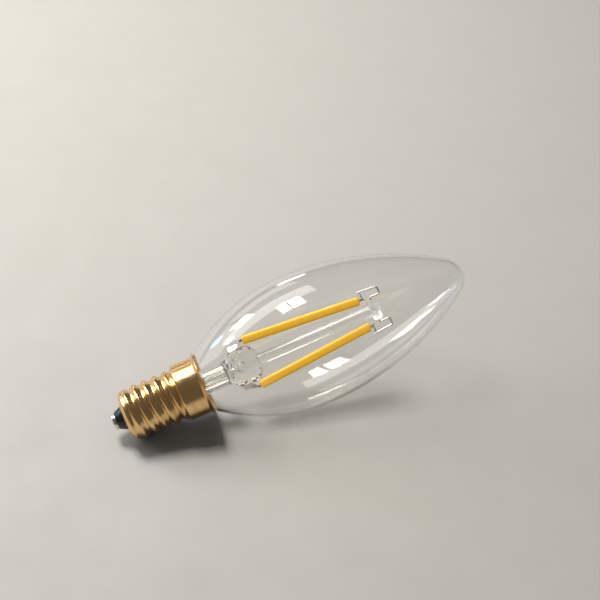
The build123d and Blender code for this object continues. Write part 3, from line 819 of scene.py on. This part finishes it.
roll.data.foreach_set("value", [
    swell(v.co.z, thread_foot, thread_foot + run_in)
    * (1 - swell(v.co.z, shoulder_end - run_out_below, shoulder_end + run_out_above))
    for v in cup.data.vertices
])
shell_mesh = shaped_by(rolled_thread, cup, {
    "Pitch": thread_pitch, "Depth": thread_depth, "Start Height": shell_end, "Start Turn": thread_start,
    "Finish": shell_brass,
})
fit("shell", shell_mesh, lamp_frame, shell_brass, "brass_shell", "screw_shell")

# Insulator: black glass poured into the end of the shell and pressed to a blunt cone.
# It holds the centre contact and keeps it apart from the shell.
nose_radius, nose_round, contact_seat, insulator_top = 2.3, 0.25, -24.2, -19.0
throat_step, throat_round, heel_ease = 0.1, 0.3, 0.04
eyelet_radius, shell_bore, insulator_turns = 0.8, 5.845, 96
black_glass = worked_surface(
    "black_glass", (0.012, 0.012, 0.014), (0.02, 0.019, 0.018), (0.08, 0.2), scale=500.0, relief=0.15
)
insulator_outline = rounded((
    (eyelet_radius + fit_gap, insulator_top, 0), (eyelet_radius + fit_gap, contact_seat, 0),
    (nose_radius, contact_seat, nose_round), (throat_radius - fit_gap, shell_end - throat_step, throat_round),
    (throat_radius - fit_gap, shell_end + sheet + fit_gap, 0),
    (heel_radius - sheet - fit_gap, heel_edge + sheet + fit_gap, 0),
    (shell_bore - fit_gap, thread_foot - heel_ease, 0), (shell_bore - fit_gap, insulator_top, 0),
))
insulator_blank = blank_from("insulator_blank", spin(insulator_outline, insulator_turns))
fit("nose", worked(insulator_blank), lamp_frame, black_glass, "black_glass", "insulator")

# Centre contact: plated eyelet, pressed from sheet and seated in the insulator.
# A drop of solder closes it round the driver's lead.
contact_radius, contact_face, eyelet_bore, eyelet_length = 2.1, -25.2, 0.4, 3.0
contact_round, contact_edge, contact_turns = 0.45, 0.1, 72
solder_radius, solder_height, drop_steps, drop_turns = 1.3, 0.35, 12, 48
drop_lump, drop_lump_rate, drop_foot = 0.06, 1.6, 0.02
contact_metal = worked_surface(
    "contact_metal", (0.84, 0.83, 0.80), (0.66, 0.64, 0.60), (0.14, 0.34), scale=600.0, relief=0.12, metal=1.0
)
solder_tin = worked_surface(
    "solder_tin", (0.74, 0.74, 0.74), (0.56, 0.56, 0.57), (0.22, 0.45), scale=900.0, relief=0.3, metal=1.0
)
contact_outline = rounded((
    (eyelet_bore, contact_seat + eyelet_length, 0), (eyelet_bore, contact_face, contact_edge),
    (contact_radius, contact_face, contact_round), (contact_radius, contact_seat, contact_edge),
    (eyelet_radius, contact_seat, 0), (eyelet_radius, contact_seat + eyelet_length, 0),
))
contact_blank = blank_from("contact_blank", spin(contact_outline, contact_turns))
fit("eyelet", worked(contact_blank), lamp_frame, contact_metal, "contact_metal", "centre_contact")
drop_radius = (solder_radius**2 + solder_height**2) / (2 * solder_height)
drop_turn = atan2(solder_radius, drop_radius - solder_height)
drop_outline = [(0, contact_face)] + [
    (drop_radius * sin(a), contact_face + drop_radius - solder_height - drop_radius * cos(a))
    for a in (drop_turn * (1 - k / drop_steps) for k in range(drop_steps))
] + [(0, contact_face - solder_height)]
drop_blank = blank_from("drop_blank", spin(drop_outline, drop_turns))
for vertex in drop_blank.data.vertices:
    if vertex.co.z < contact_face - drop_foot:
        vertex.co.z += drop_lump * noise.noise(vertex.co * drop_lump_rate)
fit("solder_drop", worked(drop_blank), lamp_frame, solder_tin, "solder", "contact_solder")

# Floor: one pale matt sheet of paper under the lamp.
# It reaches past all that the camera sees.
floor_reach = 4.0
floor_corners = [(floor_reach * x, floor_reach * y, 0) for x, y in ((-1, -1), (1, -1), (1, 1), (-1, 1))]
floor_mesh = bpy.data.meshes.new("floor")
floor_mesh.from_pydata(floor_corners, [], [(0, 1, 2, 3)])
floor = bpy.data.objects.new("floor", floor_mesh)
bpy.context.collection.objects.link(floor)
floor_paper = worked_surface(
    "floor_paper", (0.60, 0.58, 0.555), (0.58, 0.56, 0.535), (0.6, 0.75), scale=60.0, relief=0.02
)
floor_mesh.materials.append(floor_paper)

# Light: soft boxes behind and beside the lamp, in an even warm room.
# Each has its turn and rise in degrees, distance, shift across, size in metres, power and colour.
room = bpy.data.worlds.new("room")
room.use_nodes = True
room.node_tree.nodes["Background"].inputs["Color"].default_value = (0.94, 0.85, 0.74, 1)
room.node_tree.nodes["Background"].inputs["Strength"].default_value = 0.13
bpy.context.scene.world = room
aim = Vector((0.0, 0.0, 0.018))
for name, turn, rise, far, shift, size, power, colour in (
    ("high_box_left", 116.0, 61.0, 0.60, -0.037, (0.062, 0.18), 1.2, (1.0, 0.97, 0.92)),
    ("high_box_right", 116.0, 61.0, 0.60, 0.037, (0.062, 0.18), 1.2, (1.0, 0.97, 0.92)),
    ("back_box_left", 127.0, 28.0, 0.75, -0.042, (0.070, 0.15), 0.55, (1.0, 0.97, 0.93)),
    ("back_box_right", 127.0, 28.0, 0.75, 0.042, (0.070, 0.15), 0.55, (1.0, 0.97, 0.93)),
    ("side_sheet", 124.0, 42.0, 0.70, 0.0, (0.66, 0.24), 1.35, (1.0, 0.97, 0.92)),
    ("back_sheet", 104.0, 16.0, 0.80, 0.0, (0.42, 0.18), 0.26, (1.0, 0.95, 0.88)),
    ("cap_sheet", 143.0, 18.0, 0.80, 0.0, (0.50, 0.34), 0.75, (1.0, 0.97, 0.92)),
    ("low_strip", 87.0, 5.5, 0.90, 0.0, (0.12, 0.05), 0.22, (1.0, 0.93, 0.78)),
    ("end_box", 149.0, 28.0, 0.75, 0.0, (0.09, 0.09), 0.24, (1.0, 0.97, 0.90)),
    ("low_spot", 134.0, 12.0, 0.80, 0.0, (0.10, 0.11), 0.45, (0.14, 0.42, 1.0)),
):
    turn, rise = radians(turn), radians(rise)
    toward = Vector((cos(turn) * cos(rise), sin(turn) * cos(rise), sin(rise)))
    across = (Vector((1, 0, 0)) - toward * toward.x).normalized()
    facing = Matrix((across, toward.cross(across), toward)).transposed().to_4x4()
    light = bpy.data.lights.new(name, "AREA")
    light.shape = "RECTANGLE"
    light.size, light.size_y = size
    light.energy = power
    light.color = colour
    box = bpy.data.objects.new(name, light)
    box.matrix_world = Matrix.Translation(aim + toward * far + across * shift) @ facing
    bpy.context.collection.objects.link(box)

# Camera: looks down on the lamp from the side of its belly, a little from the cap's end.
# Light passes many walls of glass, so it is followed through more of them than usual.
view_turn, view_rise, view_distance = radians(-19.0), radians(45.3), 0.339
view_target = rim_centre + Vector((0.02596, 0.0, 0.02179))
back = Vector((sin(view_turn) * cos(view_rise), -cos(view_turn) * cos(view_rise), sin(view_rise)))
eye = bpy.data.cameras.new("eye")
eye.lens = 81.5
eye.sensor_width = 36.0
eye.clip_start = 0.01
camera = bpy.data.objects.new("eye", eye)
camera.location = view_target + back * view_distance
camera.rotation_euler = (-back).to_track_quat("-Z", "Y").to_euler()
bpy.context.collection.objects.link(camera)
bpy.context.scene.camera = camera
bpy.context.scene.view_settings.view_transform = "Standard"
bpy.context.scene.cycles.transmission_bounces = 24
bpy.context.scene.cycles.max_bounces = 32
bpy.context.scene.cycles.caustics_refractive = False
bpy.context.scene.cycles.caustics_reflective = False
